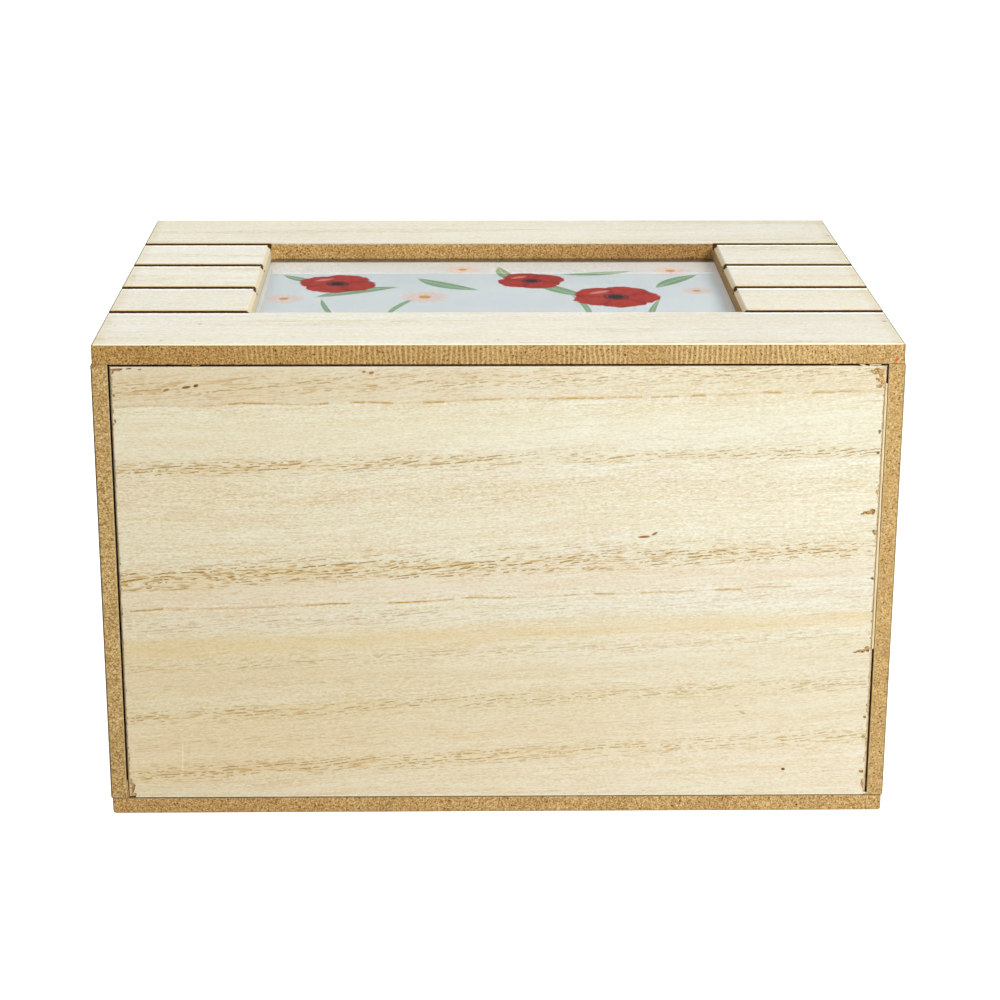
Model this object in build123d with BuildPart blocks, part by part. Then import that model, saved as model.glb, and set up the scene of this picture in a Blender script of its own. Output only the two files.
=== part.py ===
from build123d import *

import os

# A wooden photo storage box. A pinned case of veneered fibreboard has a picture window in its
# top and one plain drawer that fills its front. Sizes are in millimetres. The origin lies under
# the middle of the case, X runs along the front, Y from the front to the back, and Z is up.

# Case: the top and bottom run over and under the two sides, and the back stands between them
case_width = 230.7          # along the top and the bottom board
case_depth = 170.0
case_height = 145.0
top_thick = 6.0
bottom_thick = 5.0
side_thick = 4.8
side_overhang = 0.45        # the sides stand out this far past the top and the bottom
back_thick = 4.5
edge_bevel = 0.3            # sanded arris along the outer edges
foot_round = 1.0            # rounding under the two ends of the bottom board
finger_hole_radius = 11.0   # a finger pushes the drawer out through the back
finger_hole_bevel = 0.8

# Picture frame: a clear pane, the print and a backing board lie under a window in the top
print_width = 152.0
print_depth = 102.0
print_thick = 0.25
print_lap_ends = 2.5        # the top covers this much of the print's short ends
print_lap_edges = 3.2       # and this much of its long edges
window_corner = 3.0         # radius that the cutter leaves in the corners
window_bevel = 1.2          # along the two short ends of the window
pane_thick = 1.0
pane_margin = 0.75          # the pane reaches this far past the print
pane_play = 0.25            # room between the pane and its pocket
pane_proud = 0.2            # the pane stands out of its pocket, so that the backing clamps it
backing_thick = 2.5
backing_margin = 8.0        # the backing reaches this far past the pane

# Grooves: they cut the top into slats beside the window
groove_count = 4
groove_width = 2.6
groove_depth = 2.2
slat_corner = 2.0           # rounding of the slats where the grooves run out at the window

# Turn buttons: four small brass buttons hold the backing from below
button_reach = 14.0         # from the pivot to the tip
button_hub_radius = 4.0
button_tip_radius = 2.5
button_thick = 1.0
button_gap = 0.3            # between a hub and the edge of the backing
pivot_fit = 0.05            # radial play on the screw
screw_radius = 1.5
screw_cover = 1.5           # board left over the point of a screw
screw_point = 0.9
screw_head_radius = 3.0
screw_head_height = 1.4
screw_head_bevel = 0.6
screw_slot_width = 0.8
screw_slot_depth = 0.6

# Pins: brads of flat wire without heads, driven flush
pin_width = 1.2
pin_breadth = 1.0
pin_length = 18.0
pin_point = 0.35            # bevel of the chisel point
pin_inset = 26.0            # from the end of a board to its first pin

# Drawer: it slides on the bottom board, and the back board stops it
drawer_side_gap = 0.4
drawer_top_gap = 0.5
drawer_front_thick = 5.0
drawer_front_bevel = 0.5
drawer_wall_thick = 4.5
drawer_joint_depth = 2.0    # how deep the walls sit in the back of the front
drawer_floor_thick = 3.0
drawer_floor_lift = 4.0     # from the lower edge of the walls to the floor
drawer_floor_groove = 2.0   # how deep the floor's groove is
drawer_floor_play = 0.1
rear_wall_clearance = 9.0   # under the screws of the turn buttons

# Places and sizes that follow
front_y = -case_depth / 2
back_y = case_depth / 2
under_top = case_height - top_thick
side_height = under_top - bottom_thick
outer_width = case_width + 2 * side_overhang
inner_width = outer_width - 2 * side_thick
side_middle = (outer_width - side_thick) / 2
back_middle = back_y - back_thick / 2

window_width = print_width - 2 * print_lap_ends
window_depth = print_depth - 2 * print_lap_edges
groove_pitch = (window_depth - groove_width) / (groove_count - 1)

pane_width = print_width + 2 * pane_margin
pane_depth = print_depth + 2 * pane_margin
pane_top = under_top + pane_thick - pane_proud
print_top = pane_top - pane_thick
backing_width = pane_width + 2 * backing_margin
backing_depth = pane_depth + 2 * backing_margin
backing_top = print_top - print_thick
button_top = backing_top - backing_thick
screw_head_top = button_top - button_thick

drawer_width = inner_width - 2 * drawer_side_gap
drawer_height = side_height - drawer_top_gap
drawer_inner_width = drawer_width - 2 * drawer_wall_thick
drawer_end = back_y - back_thick
drawer_front_back = front_y + drawer_front_thick
wall_start = drawer_front_back - drawer_joint_depth
floor_under = bottom_thick + drawer_floor_lift
floor_top = floor_under + drawer_floor_thick
floor_width = drawer_inner_width + 2 * (drawer_floor_groove - drawer_floor_play)
floor_start = wall_start + drawer_floor_play
floor_slot_width = floor_width + 2 * drawer_floor_play
floor_slot_height = drawer_floor_thick + drawer_floor_play
rear_wall_top = screw_head_top - screw_head_height - rear_wall_clearance
rear_wall_middle = drawer_end - drawer_wall_thick / 2

hands = (("left", -1), ("right", 1))
os.makedirs("parts", exist_ok=True)


def side_plane(x, hand):
    """Plane at x that looks out to one side, with its second axis upwards."""
    return Plane(origin=(x, 0, 0), x_dir=(0, hand, 0), z_dir=(hand, 0, 0))


def driven_pins(surface, places):
    """Pins driven into a surface until they are flush, with blunt points."""
    with BuildPart() as pins:
        with BuildSketch(surface):
            with Locations(*places):
                Rectangle(pin_width, pin_breadth)
        extrude(amount=-pin_length)
        points = pins.edges().group_by(Axis(surface.origin, surface.z_dir))[0]
        chamfer(points, pin_point)
    return pins.part


def three_places(first, last):
    """The two ends of a run of pins, and its middle."""
    return (first, (first + last) / 2, last)


# Pins of the case, three in each joint
pin_rows = three_places(front_y + pin_inset, back_y - pin_inset)
upright_places = [(x, y) for x in (-side_middle, side_middle) for y in pin_rows]

with BuildPart() as top_pins:
    add(driven_pins(Plane.XY.offset(case_height), upright_places))
top_pins.part.label = "top_pins"
export_step(top_pins.part, "parts/top_pins.step")

with BuildPart() as bottom_pins:
    underside = Plane(origin=(0, 0, 0), x_dir=(1, 0, 0), z_dir=(0, 0, -1))
    add(driven_pins(underside, [(x, -y) for x, y in upright_places]))
bottom_pins.part.label = "bottom_pins"
export_step(bottom_pins.part, "parts/bottom_pins.step")

back_pin_heights = three_places(bottom_thick + pin_inset, under_top - pin_inset)

with BuildPart() as back_pins:
    for _, hand in hands:
        places = [(hand * back_middle, z) for z in back_pin_heights]
        add(driven_pins(side_plane(hand * outer_width / 2, hand), places))
back_pins.part.label = "back_pins"
export_step(back_pins.part, "parts/back_pins.step")

# Turn buttons, two at each end of the backing, each under the middle of a slat
button_x = backing_width / 2 + button_hub_radius + button_gap
button_places = [
    (f"turn_button_{row}_{side}", hand * button_x, depth * groove_pitch, -hand)
    for row, depth in (("front", -1), ("rear", 1))
    for side, hand in hands
]
screw_places = [(x, y) for _, x, y, _ in button_places]

with BuildPart() as turn_button_screws:
    with BuildSketch(Plane.XY.offset(screw_head_top)):
        with Locations(*screw_places):
            Circle(screw_head_radius)
    extrude(amount=-screw_head_height)
    chamfer(turn_button_screws.edges().group_by(Axis.Z)[0], screw_head_bevel)
    with BuildSketch(Plane.XY.offset(screw_head_top)):
        with Locations(*screw_places):
            Circle(screw_radius)
    extrude(amount=case_height - screw_cover - screw_head_top)
    chamfer(turn_button_screws.edges().group_by(Axis.Z)[-1], screw_point)
    with BuildSketch(Plane.XY.offset(screw_head_top - screw_head_height)):
        with Locations(*screw_places):
            Rectangle(2 * screw_head_radius, screw_slot_width)
    extrude(amount=screw_slot_depth, mode=Mode.SUBTRACT)
turn_button_screws.part.label = "turn_button_screws"
export_step(turn_button_screws.part, "parts/turn_button_screws.step")

for name, x, y, inward in button_places:
    with BuildPart() as turn_button:
        with BuildSketch(Plane.XY.offset(button_top)):
            with Locations((x, y)):
                Circle(button_hub_radius)
            with Locations((x + inward * (button_reach - button_tip_radius), y)):
                Circle(button_tip_radius)
            make_hull()
        extrude(amount=-button_thick)
        # The hub is a spacer as high as the backing stands out of the top
        with BuildSketch(Plane.XY.offset(button_top)):
            with Locations((x, y)):
                Circle(button_hub_radius)
        extrude(amount=under_top - button_top)
        with BuildSketch(Plane.XY.offset(under_top)):
            with Locations((x, y)):
                Circle(screw_radius + pivot_fit)
        extrude(amount=-(under_top - screw_head_top), mode=Mode.SUBTRACT)
    turn_button.part.label = name
    export_step(turn_button.part, f"parts/{name}.step")

# Top board, with its window, the pane's pocket and the grooves that make the slats
with BuildPart() as top_board:
    with BuildSketch(Plane.XY.offset(under_top)):
        Rectangle(case_width, case_depth)
    extrude(amount=top_thick)
    chamfer(top_board.faces().sort_by(Axis.Z)[-1].edges(), edge_bevel)
    with BuildSketch(Plane.XY.offset(under_top)):
        RectangleRounded(window_width, window_depth, window_corner)
    extrude(amount=top_thick, mode=Mode.SUBTRACT)
    with BuildSketch(Plane.XY.offset(under_top)):
        RectangleRounded(pane_width + 2 * pane_play, pane_depth + 2 * pane_play, window_corner)
    extrude(amount=pane_top - under_top, mode=Mode.SUBTRACT)
    # The outer grooves run along the window's long edges, and the slats have rounded corners
    with BuildSketch(Plane.XY.offset(case_height)) as grooves:
        Rectangle(window_width, window_depth)
        with GridLocations(0, groove_pitch, 1, groove_count):
            Rectangle(case_width, groove_width)
        corners = grooves.vertices().filter_by(
            lambda v: abs(abs(v.X) - window_width / 2) < 0.01 and abs(v.Y) < window_depth / 2 - 0.01
        )
        fillet(corners, slat_corner)
    extrude(amount=-groove_depth, mode=Mode.SUBTRACT)
    # The slats' ends are bevelled along the window
    with BuildSketch(Plane.XZ.offset(window_depth / 2)):
        for _, hand in hands:
            edge = hand * window_width / 2
            with BuildLine():
                Polyline(
                    (edge, case_height - window_bevel),
                    (edge + hand * window_bevel, case_height),
                    (edge, case_height),
                    close=True,
                )
            make_face()
    extrude(amount=-window_depth, mode=Mode.SUBTRACT)
    add(top_pins.part, mode=Mode.SUBTRACT)
    add(turn_button_screws.part, mode=Mode.SUBTRACT)
top_board.part.label = "top_board"
export_step(top_board.part, "parts/top_board.step")

# Bottom board
with BuildPart() as bottom_board:
    with BuildSketch(Plane.XY):
        Rectangle(case_width, case_depth)
    extrude(amount=bottom_thick)
    chamfer(bottom_board.edges().filter_by(Axis.Z), edge_bevel)
    ends = bottom_board.faces().sort_by(Axis.Z)[0].edges().filter_by(Axis.Y)
    fillet(ends, foot_round)
    add(bottom_pins.part, mode=Mode.SUBTRACT)
bottom_board.part.label = "bottom_board"
export_step(bottom_board.part, "parts/bottom_board.step")

# Sides
for side_name, hand in hands:
    with BuildPart() as side_board:
        with BuildSketch(Plane.XY.offset(bottom_thick)):
            with Locations((hand * side_middle, 0)):
                Rectangle(side_thick, case_depth)
        extrude(amount=side_height)
        outer_face = side_board.faces().sort_by(Axis.X)[-1 if hand > 0 else 0]
        chamfer(outer_face.edges(), edge_bevel)
        add(top_pins.part, mode=Mode.SUBTRACT)
        add(bottom_pins.part, mode=Mode.SUBTRACT)
        add(back_pins.part, mode=Mode.SUBTRACT)
    side_board.part.label = f"{side_name}_side"
    export_step(side_board.part, f"parts/{side_name}_side.step")

# Back board, between the sides, with the finger hole
with BuildPart() as back_board:
    with BuildSketch(Plane.XZ.offset(-back_y)):
        with Locations((0, bottom_thick + side_height / 2)):
            Rectangle(inner_width, side_height)
            Circle(finger_hole_radius, mode=Mode.SUBTRACT)
    extrude(amount=back_thick)
    rim = back_board.edges().filter_by(GeomType.CIRCLE).sort_by(Axis.Y)[-1]
    chamfer(rim, finger_hole_bevel)
    add(back_pins.part, mode=Mode.SUBTRACT)
back_board.part.label = "back_board"
export_step(back_board.part, "parts/back_board.step")

# Pane, print and backing, in the order in which they lie under the window
with BuildPart() as window_pane:
    with BuildSketch(Plane.XY.offset(pane_top)):
        RectangleRounded(pane_width, pane_depth, window_corner)
    extrude(amount=-pane_thick)
window_pane.part.label = "window_pane"
export_step(window_pane.part, "parts/window_pane.step")

with BuildPart() as photo_print:
    with BuildSketch(Plane.XY.offset(print_top)):
        Rectangle(print_width, print_depth)
    extrude(amount=-print_thick)
photo_print.part.label = "photo_print"
export_step(photo_print.part, "parts/photo_print.step")

with BuildPart() as frame_backing:
    with BuildSketch(Plane.XY.offset(backing_top)):
        Rectangle(backing_width, backing_depth)
    extrude(amount=-backing_thick)
frame_backing.part.label = "frame_backing"
export_step(frame_backing.part, "parts/frame_backing.step")

# Pins of the drawer: through the walls into the rear wall, and up through the floor into it
drawer_pin_heights = three_places(floor_top + pin_inset, rear_wall_top - pin_inset)
floor_pin_reach = drawer_inner_width / 2 - pin_inset
floor_pin_places = three_places(-floor_pin_reach, floor_pin_reach)

with BuildPart() as drawer_pins:
    for _, hand in hands:
        places = [(hand * rear_wall_middle, z) for z in drawer_pin_heights]
        add(driven_pins(side_plane(hand * drawer_width / 2, hand), places))
    floor_underside = Plane(origin=(0, 0, floor_under), x_dir=(1, 0, 0), z_dir=(0, 0, -1))
    add(driven_pins(floor_underside, [(x, -rear_wall_middle) for x in floor_pin_places]))
drawer_pins.part.label = "drawer_pins"
export_step(drawer_pins.part, "parts/drawer_pins.step")

# Drawer front: its face is flush with the case, and its back is cut for the walls and the floor
with BuildPart() as drawer_front:
    with BuildSketch(Plane.XZ.offset(-front_y)):
        with Locations((0, bottom_thick + drawer_height / 2)):
            Rectangle(drawer_width, drawer_height)
    extrude(amount=-drawer_front_thick)
    chamfer(drawer_front.faces().sort_by(Axis.Y)[0].edges(), drawer_front_bevel)
    with BuildSketch(Plane.XZ.offset(-drawer_front_back)):
        with Locations((0, bottom_thick + drawer_height / 2)):
            with GridLocations(drawer_width - drawer_wall_thick, 0, 2, 1):
                Rectangle(drawer_wall_thick, drawer_height)
        with Locations((0, floor_under + floor_slot_height / 2)):
            Rectangle(floor_slot_width, floor_slot_height)
    extrude(amount=drawer_joint_depth, mode=Mode.SUBTRACT)
drawer_front.part.label = "drawer_front"
export_step(drawer_front.part, "parts/drawer_front.step")

# Drawer walls: as high as the front, so that the top board keeps the open drawer level
for side_name, hand in hands:
    with BuildPart() as drawer_wall:
        outer_x = hand * drawer_width / 2
        with BuildSketch(side_plane(outer_x, hand)):
            with Locations((hand * (wall_start + drawer_end) / 2, bottom_thick + drawer_height / 2)):
                Rectangle(drawer_end - wall_start, drawer_height)
        extrude(amount=-drawer_wall_thick)
        with BuildSketch(side_plane(outer_x - hand * drawer_wall_thick, hand)):
            with Locations((hand * (wall_start + drawer_end) / 2, floor_under + floor_slot_height / 2)):
                Rectangle(drawer_end - wall_start, floor_slot_height)
        extrude(amount=drawer_floor_groove, mode=Mode.SUBTRACT)
        add(drawer_pins.part, mode=Mode.SUBTRACT)
    drawer_wall.part.label = f"drawer_{side_name}_wall"
    export_step(drawer_wall.part, f"parts/drawer_{side_name}_wall.step")

# Drawer rear wall: it stands on the floor, low enough to pass under the turn buttons
with BuildPart() as drawer_rear_wall:
    with BuildSketch(Plane.XZ.offset(-drawer_end)):
        with Locations((0, (floor_top + rear_wall_top) / 2)):
            Rectangle(drawer_inner_width, rear_wall_top - floor_top)
    extrude(amount=drawer_wall_thick)
    add(drawer_pins.part, mode=Mode.SUBTRACT)
drawer_rear_wall.part.label = "drawer_rear_wall"
export_step(drawer_rear_wall.part, "parts/drawer_rear_wall.step")

# Drawer floor: it slides in along the walls' grooves from the rear
with BuildPart() as drawer_floor:
    with BuildSketch(Plane.XY.offset(floor_under)):
        with Locations((0, (floor_start + drawer_end) / 2)):
            Rectangle(floor_width, drawer_end - floor_start)
    extrude(amount=drawer_floor_thick)
    add(drawer_pins.part, mode=Mode.SUBTRACT)
drawer_floor.part.label = "drawer_floor"
export_step(drawer_floor.part, "parts/drawer_floor.step")
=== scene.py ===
import bpy
import math
import random
from mathutils import Matrix, Vector


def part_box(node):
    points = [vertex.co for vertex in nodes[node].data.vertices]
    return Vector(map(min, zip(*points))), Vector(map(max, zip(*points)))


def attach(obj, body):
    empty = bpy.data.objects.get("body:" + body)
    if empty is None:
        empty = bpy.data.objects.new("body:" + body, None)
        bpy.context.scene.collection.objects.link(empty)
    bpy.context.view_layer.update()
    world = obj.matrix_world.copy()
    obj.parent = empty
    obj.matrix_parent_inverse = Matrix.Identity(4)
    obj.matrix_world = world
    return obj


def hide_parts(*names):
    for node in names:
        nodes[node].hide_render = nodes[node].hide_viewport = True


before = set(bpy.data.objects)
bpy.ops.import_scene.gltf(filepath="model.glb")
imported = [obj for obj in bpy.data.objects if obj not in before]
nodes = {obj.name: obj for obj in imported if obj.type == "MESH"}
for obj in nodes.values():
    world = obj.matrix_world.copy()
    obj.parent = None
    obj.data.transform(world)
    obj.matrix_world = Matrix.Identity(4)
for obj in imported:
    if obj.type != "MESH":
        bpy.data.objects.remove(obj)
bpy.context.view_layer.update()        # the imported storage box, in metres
mm = 0.001
print("frame loaded:", len(nodes), "nodes")

# Camera, as the photograph was taken
photoCamera = {
    "place": (-0.01282, -0.77504, 0.32503),
    "down": 0.317074,        # radians below the horizon
    "aside": -0.019024,        # radians about Z
    "tilt": 0.0035686,        # radians about the line of sight
    "lens": 90.607,
    "sensor": 36.0,
}
lookTurn = (Matrix.Rotation(photoCamera["aside"], 3, "Z")
            @ Matrix.Rotation(-photoCamera["down"], 3, "X")
            @ Matrix.Rotation(-photoCamera["tilt"], 3, "Y")
            @ Matrix.Rotation(math.radians(90), 3, "X"))
bpy.ops.object.camera_add(location=photoCamera["place"], rotation=lookTurn.to_euler())
camera = bpy.context.object
camera.name = "photoCamera"
camera.data.lens = photoCamera["lens"]
camera.data.sensor_width = photoCamera["sensor"]
camera.data.clip_start = 0.01
bpy.context.scene.camera = camera
bpy.context.scene.view_settings.view_transform = "Standard"
print("camera placed")


# Helpers for meshes
def clearSelection():
    if bpy.context.object and bpy.context.object.mode != "OBJECT":
        bpy.ops.object.mode_set(mode="OBJECT")
    bpy.ops.object.select_all(action="DESELECT")


def workOn(piece):        # only this piece is selected and active
    clearSelection()
    piece.select_set(True)
    bpy.context.view_layer.objects.active = piece


def pickVerts(piece, wanted):        # edit mode, with the vertices that pass the test selected
    workOn(piece)
    bpy.ops.object.mode_set(mode="EDIT")
    bpy.ops.mesh.select_mode(type="VERT")
    bpy.ops.mesh.select_all(action="DESELECT")
    bpy.ops.object.mode_set(mode="OBJECT")
    for vert in piece.data.vertices:
        vert.select = bool(wanted(vert.co))
    bpy.ops.object.mode_set(mode="EDIT")


def editAll(piece):        # edit mode, with all of its mesh selected
    workOn(piece)
    bpy.ops.object.mode_set(mode="EDIT")
    bpy.ops.mesh.select_all(action="SELECT")


def closeMesh():        # all faces point outwards, and edit mode ends
    bpy.ops.mesh.select_all(action="SELECT")
    bpy.ops.mesh.normals_make_consistent(inside=False)
    bpy.ops.object.mode_set(mode="OBJECT")


def settle(piece):        # its place goes into its mesh, and its faces point outwards
    workOn(piece)
    bpy.ops.object.transform_apply(location=True, rotation=True, scale=True)
    editAll(piece)
    closeMesh()


def joinAll(pieces):        # the pieces as one
    clearSelection()
    for piece in pieces:
        piece.select_set(True)
    bpy.context.view_layer.objects.active = pieces[0]
    bpy.ops.object.join()
    return bpy.context.object


def copyOf(name, newName):        # a merged copy of a CAD node's mesh, as a piece of its own
    piece = bpy.data.objects.new(newName, nodes[name].data.copy())
    bpy.context.scene.collection.objects.link(piece)
    editAll(piece)
    bpy.ops.mesh.remove_doubles(threshold=0.00001)
    bpy.ops.object.mode_set(mode="OBJECT")
    return piece


def giveMaterial(piece, material):
    if not piece.material_slots:
        piece.data.materials.append(material)
    for slot in piece.material_slots:
        slot.material = material


# Helpers for materials
def paint(red, green, blue, level=0.75):        # a colour as the studio shows it, 0 to 255, as a linear colour
    return tuple(level * (((part / 255 + 0.055) / 1.055) ** 2.4 if part > 10 else part / 3294.6)
                 for part in (red, green, blue)) + (1.0,)


tree = None        # the node tree that these helpers add to


def addNode(kind):
    return tree.nodes.new("ShaderNode" + kind)


def feed(socket, value):
    if isinstance(value, bpy.types.NodeSocket):
        tree.links.new(value, socket)
    else:
        socket.default_value = value


def calc(operation, *values, clamp=False):
    node = addNode("Math")
    node.operation = operation
    node.use_clamp = clamp
    for socket, value in zip(node.inputs, values):
        feed(socket, value)
    return node.outputs[0]


def times(first, second, clamp=False):
    return calc("MULTIPLY", first, second, clamp=clamp)


def plus(first, second):
    return calc("ADD", first, second)


def minus(first, second):
    return calc("SUBTRACT", first, second)


def highest(first, second):
    return calc("MAXIMUM", first, second)


def absolute(value):
    return calc("ABSOLUTE", value)


def vectorCalc(operation, *values):
    node = addNode("VectorMath")
    node.operation = operation
    for socket, value in zip(node.inputs, values):
        feed(socket, value)
    return node.outputs["Value" if operation in ("LENGTH", "DOT_PRODUCT") else "Vector"]


def split(vector):
    node = addNode("SeparateXYZ")
    feed(node.inputs[0], vector)
    return tuple(node.outputs)


def join(x, y, z):
    node = addNode("CombineXYZ")
    for socket, value in zip(node.inputs, (x, y, z)):
        feed(socket, value)
    return node.outputs[0]


def noise(vector, detail=2.0, roughness=0.5, distortion=0.0, scale=1.0):
    node = addNode("TexNoise")
    feed(node.inputs["Vector"], vector)
    node.inputs["Scale"].default_value = scale
    node.inputs["Detail"].default_value = detail
    node.inputs["Roughness"].default_value = roughness
    node.inputs["Distortion"].default_value = distortion
    return node.outputs["Fac"]


def spots(vector, scale=1.0):        # distance to the nearest spot, and a random number for it
    node = addNode("TexVoronoi")
    feed(node.inputs["Vector"], vector)
    node.inputs["Scale"].default_value = scale
    return node.outputs["Distance"], split(node.outputs["Color"])[0]


def fade(value, low, high, start=0.0, end=1.0):
    node = addNode("MapRange")
    node.interpolation_type = "SMOOTHSTEP"
    for label, number in (("Value", value), ("From Min", low), ("From Max", high),
                          ("To Min", start), ("To Max", end)):
        feed(node.inputs[label], number)
    return node.outputs["Result"]


def blend(amount, first, second, mode="MIX"):
    node = addNode("Mix")
    node.data_type = "RGBA"
    node.blend_type = mode
    for socket, value in ((node.inputs[0], amount), (node.inputs[6], first), (node.inputs[7], second)):
        feed(socket, value)
    return node.outputs[2]


def startGroup(name, given, made):        # a node group with its inputs and outputs, to be built next
    global tree
    tree = bpy.data.node_groups.new(name, "ShaderNodeTree")
    for label, value in given.items():
        kind = {4: "Color", 3: "Vector"}[len(value)] if isinstance(value, tuple) else "Float"
        socket = tree.interface.new_socket(name=label, in_out="INPUT", socket_type="NodeSocket" + kind)
        socket.default_value = value
    for label in made:
        kind = "Color" if label == "Color" else "Float"
        tree.interface.new_socket(name=label, in_out="OUTPUT", socket_type="NodeSocket" + kind)
    start = tree.nodes.new("NodeGroupInput")
    end = tree.nodes.new("NodeGroupOutput")
    return tree, start.outputs, end.inputs


def useGroup(group, values):
    node = addNode("Group")
    node.node_tree = group
    for label, value in values.items():
        feed(node.inputs[label], value)
    return node.outputs


def startMaterial(name):        # a new material, its shader, and a place on the piece in millimetres
    global tree
    material = bpy.data.materials.new(name)
    material.use_nodes = True
    tree = material.node_tree
    shader = tree.nodes["Principled BSDF"]
    place = addNode("TexCoord").outputs["Object"]
    return material, shader, vectorCalc("MULTIPLY", place, (1000, 1000, 1000))


def dress(shader, color, roughness, specular=None):
    feed(shader.inputs["Base Color"], color)
    feed(shader.inputs["Roughness"], roughness)
    if specular is not None:
        shader.inputs["Specular IOR Level"].default_value = specular


def addBump(shader, height, distance, strength=1.0):
    bump = addNode("Bump")
    bump.inputs["Distance"].default_value = distance
    bump.inputs["Strength"].default_value = strength
    feed(bump.inputs["Height"], height)
    feed(shader.inputs["Normal"], bump.outputs["Normal"])


# Shared effects

# Sliced veneer: grain along X, growth rings across Y, in millimetres
veneerGrain, given, made = startGroup("veneerGrain", {
    "Vector": (0, 0, 0), "Pale": paint(232, 222, 192), "Light": paint(246, 240, 220),
    "Warm": paint(222, 199, 158), "Blush": paint(226, 205, 176), "Fleck": paint(170, 125, 60), "Rise": 0.045,
    "Bands": 0.0, "Flecks": 1.0, "Seed": 0.0}, ("Color", "Roughness", "Height"))
x, y, z = split(given["Vector"])
z = plus(z, times(given["Seed"], 7.3))
wander = noise(join(times(x, 0.012), times(y, 0.02), times(z, 0.31)))
ripple = noise(join(times(x, 0.045), times(y, 0.12), z))
across = minus(y, times(x, given["Rise"]))
across = plus(across, times(minus(wander, 0.5), 7.0))
across = plus(across, times(minus(ripple, 0.5), 1.6))


def alongGrain(stretchX, stretchY, offset=0.0):        # coordinates drawn out along the grain
    return join(times(x, stretchX), times(across, stretchY), plus(z, offset))


broad = noise(alongGrain(0.005, 0.055), detail=3)
streak = noise(alongGrain(0.016, 0.34, 3.0), detail=4, roughness=0.6)
blush = noise(alongGrain(0.024, 0.24, 9.0), detail=4, roughness=0.6)
fibre = noise(alongGrain(0.06, 1.7, 5.0), detail=3, roughness=0.7)
hair = noise(alongGrain(0.95, 3.2, 1.0), detail=2, roughness=0.7)
color = given["Pale"]
for pattern, low, high, amount, tone in (
        (broad, 0.38, 0.66, 0.50, "Warm"), (streak, 0.47, 0.70, 0.55, "Warm"),
        (blush, 0.50, 0.68, 0.80, "Blush"), (fibre, 0.48, 0.68, 0.70, "Warm"),
        (fibre, 0.47, 0.30, 0.60, "Light"), (hair, 0.50, 0.70, 0.36, "Fleck"),
        (hair, 0.48, 0.32, 0.80, "Light")):
    color = blend(fade(pattern, low, high, 0.0, amount), color, given[tone])

# Short golden strokes, scattered thinly and gathered in the bands
strokes = noise(alongGrain(0.30, 2.1, 13.0), detail=1)
strokes = plus(strokes, times(given["Bands"], 0.07))
strokes = times(fade(strokes, 0.60, 0.72), plus(0.20, times(given["Bands"], 0.50)))
strokes = times(strokes, given["Flecks"], clamp=True)
color = blend(strokes, color, given["Fleck"])

# Pores lie in thin broken rows that lean across the grain, close together in the bands
rows = calc("DIVIDE", minus(across, times(x, 0.06)), 0.95)
row = calc("FLOOR", rows)
shift = noise(join(times(row, 7.31), 0.5, z))
inRow = minus(calc("FRACT", rows), plus(0.2, times(shift, 0.6)))
uneven = noise(join(times(x, 1.3), times(row, 2.9), z), detail=1)
inRow = plus(inRow, times(minus(uneven, 0.5), 0.5))
thin = fade(absolute(inRow), 0.24, 0.08)
run = noise(join(times(x, 0.075), times(row, 3.7), z), detail=1)
dots = noise(join(times(x, 0.55), times(row, 5.3), z), detail=2)
dots = fade(dots, 0.45, 0.56, 0.0, 1.0)
banded = times(fade(run, 0.42, 0.52), given["Bands"])
stray = fade(run, 0.60, 0.70, 0.0, 0.35)
pores = times(highest(banded, stray), times(thin, dots))
pores = times(pores, given["Flecks"], clamp=True)
color = blend(times(given["Bands"], 0.28, clamp=True), color, given["Warm"])
poreTone = blend(1.0, given["Fleck"], (0.76, 0.80, 0.56, 1), "MULTIPLY")
color = blend(times(pores, 0.92), color, poreTone)
feed(made["Color"], color)
feed(made["Roughness"], plus(0.58, times(fibre, 0.14)))
feed(made["Height"], minus(times(fibre, 0.5), pores))

# One growth ring: a soft band that rises along X
ringBand, given, made = startGroup("ringBand", {
    "Along": 0.0, "Across": 0.0, "Centre": 0.0, "Rise": 0.045, "Half Width": 1.0, "Strength": 1.0},
    ("Mask", "Above"))
sway = noise(join(times(given["Along"], 0.045), given["Centre"], 0.0))
offset = minus(given["Across"], given["Centre"])
offset = minus(offset, times(given["Along"], given["Rise"]))
offset = plus(offset, times(minus(sway, 0.5), 2.2))
feed(made["Above"], offset)
offset = calc("DIVIDE", offset, given["Half Width"])
feed(made["Mask"], times(given["Strength"], calc("EXPONENT", times(times(offset, offset), -1.0))))

# Raw fibreboard: felted fibres, dark bark specks and the saw's marks across X
fibreboard, given, made = startGroup("fibreboard", {
    "Vector": (0, 0, 0), "Base": paint(196, 160, 106), "Dark": paint(120, 78, 36),
    "Light": paint(228, 200, 150), "Speck": paint(92, 56, 22), "Saw Marks": 0.0, "Seed": 0.0},
    ("Color", "Roughness", "Height"))
x, y, z = split(given["Vector"])
moved = vectorCalc("ADD", given["Vector"], join(given["Seed"], given["Seed"], given["Seed"]))
felt = noise(moved, detail=3, roughness=0.7, distortion=0.4, scale=1.9)
cloud = noise(moved, detail=2, scale=0.07)
darkSpot, darkChance = spots(moved, 0.85)
lightSpot, lightChance = spots(vectorCalc("ADD", moved, (31.0, 17.0, 5.0)), 0.7)
specks = times(fade(darkSpot, 0.28, 0.14), fade(darkChance, 0.72, 0.76))
hue = noise(vectorCalc("ADD", moved, (53.0, 29.0, 11.0)), detail=1, scale=1.0)
flakes = times(fade(lightSpot, 0.26, 0.12), fade(lightChance, 0.66, 0.70))
waver = noise(join(times(x, 0.11), 2.0, times(z, 0.12)), detail=1)
tooth = calc("FRACT", plus(calc("DIVIDE", x, 1.45), times(waver, 1.6)))
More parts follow.
